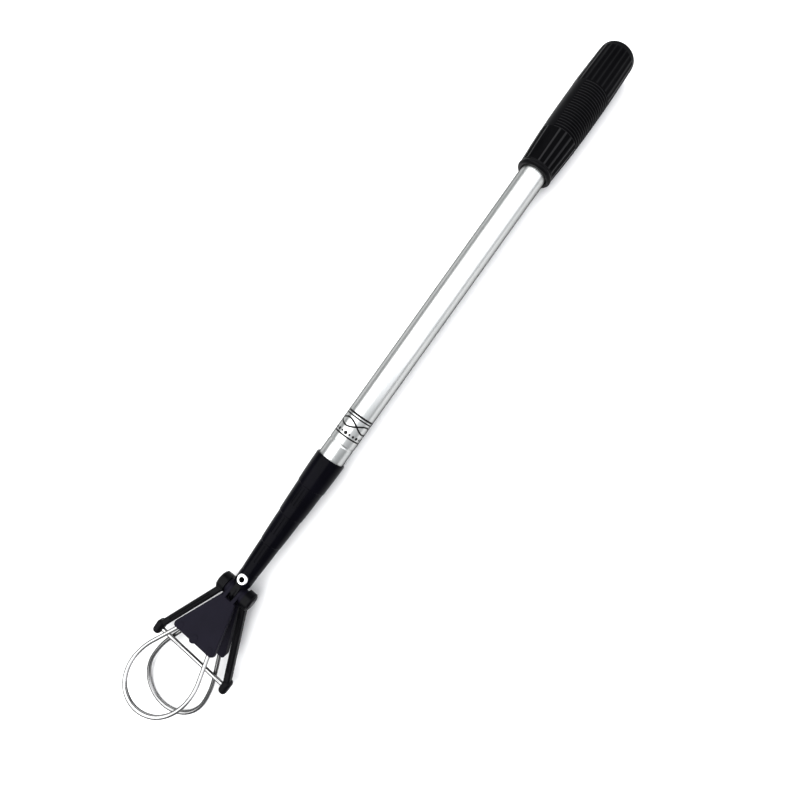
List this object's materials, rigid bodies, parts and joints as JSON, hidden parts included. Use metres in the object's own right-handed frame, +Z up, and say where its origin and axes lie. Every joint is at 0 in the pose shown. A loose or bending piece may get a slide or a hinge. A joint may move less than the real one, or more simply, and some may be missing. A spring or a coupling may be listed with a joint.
{
  "type": "golf ball retriever",
  "caption": "Collapsed telescopic golf ball retriever with a ribbed grip, stepped cone, tilting fork and two sprung wire-loop jaws.",
  "frame": {"origin": "under the middle of the collapsed retriever, on the surface it lies on", "axes": "+X along the pole towards the grip, +Y across the pole along the jaw axle, +Z up"},
  "size_m": [0.7018, 0.0876, 0.0694],
  "materials": {
    "grip_rubber": "moulded, ribbed",
    "black_plastic": "glossy moulded",
    "jaw_plastic": "fine matte moulded",
    "tube_steel": "drawn, satin",
    "wire_steel": "polished round wire",
    "rivet_steel": "polished eyelet",
    "bush_plastic": "natural acetal",
    "plug_plastic": "moulded",
    "spring_steel": "spring wire"
  },
  "bodies": {
    "handle": {"grip_sleeve": "grip_rubber", "end_plug": "plug_plastic", "outer_tube": "tube_steel"},
    "section_2": {"tube_2": "tube_steel", "guide_bush_2": "bush_plastic"},
    "section_3": {"tube_3": "tube_steel", "guide_bush_3": "bush_plastic"},
    "section_4": {"tube_4": "tube_steel", "guide_bush_4": "bush_plastic"},
    "section_5": {"tube_5": "tube_steel", "guide_bush_5": "bush_plastic"},
    "section_6": {"tube_6": "tube_steel", "guide_bush_6": "bush_plastic"},
    "section_7": {"tube_7": "tube_steel", "guide_bush_7": "bush_plastic"},
    "section_8": {"tube_8": "tube_steel", "guide_bush_8": "bush_plastic", "cone_socket": "black_plastic", "cone_rivet": "rivet_steel", "hub": "black_plastic"},
    "fork": {"cross_axle": "wire_steel", "axle_cap_left": "black_plastic", "axle_cap_right": "black_plastic", "arm_left": "black_plastic", "arm_right": "black_plastic", "front_jaw_spring": "spring_steel", "rear_jaw_spring": "spring_steel", "cross_rod": "wire_steel"},
    "front_jaw": {"front_plate": "jaw_plastic", "front_cover": "jaw_plastic", "front_screws": "rivet_steel", "front_loop": "wire_steel"},
    "rear_jaw": {"rear_plate": "jaw_plastic", "rear_cover": "jaw_plastic", "rear_screws": "rivet_steel", "rear_loop": "wire_steel"}
  },
  "joints": [
    {"name": "section_2_slide", "type": "slide", "parent": "handle", "child": "section_2", "axis": [-1, 0, 0], "range_m": [0, 0.357]},
    {"name": "section_3_slide", "type": "slide", "parent": "section_2", "child": "section_3", "axis": [-1, 0, 0], "range_m": [0, 0.357]},
    {"name": "section_4_slide", "type": "slide", "parent": "section_3", "child": "section_4", "axis": [-1, 0, 0], "range_m": [0, 0.357]},
    {"name": "section_5_slide", "type": "slide", "parent": "section_4", "child": "section_5", "axis": [-1, 0, 0], "range_m": [0, 0.357]},
    {"name": "section_6_slide", "type": "slide", "parent": "section_5", "child": "section_6", "axis": [-1, 0, 0], "range_m": [0, 0.357]},
    {"name": "section_7_slide", "type": "slide", "parent": "section_6", "child": "section_7", "axis": [-1, 0, 0], "range_m": [0, 0.357]},
    {"name": "section_8_slide", "type": "slide", "parent": "section_7", "child": "section_8", "axis": [-1, 0, 0], "range_m": [0, 0.357]},
    {"name": "head_tilt", "type": "hinge", "parent": "section_8", "child": "fork", "pos_m": [-0.21914, 0, 0.0181], "axis": [0, 1, 0], "range_deg": [-60, 40]},
    {"name": "front_jaw_swing", "type": "hinge", "parent": "fork", "child": "front_jaw", "pos_m": [-0.21914, 0, 0.0181], "axis": [0, 1, 0], "range_deg": [0, 35], "stiffness_Nm_per_rad": 0.06, "springref_deg": -34.38},
    {"name": "rear_jaw_swing", "type": "hinge", "parent": "fork", "child": "rear_jaw", "pos_m": [-0.21914, 0, 0.0181], "axis": [0, -1, 0], "range_deg": [0, 35], "stiffness_Nm_per_rad": 0.06, "springref_deg": -34.38}
  ]
}
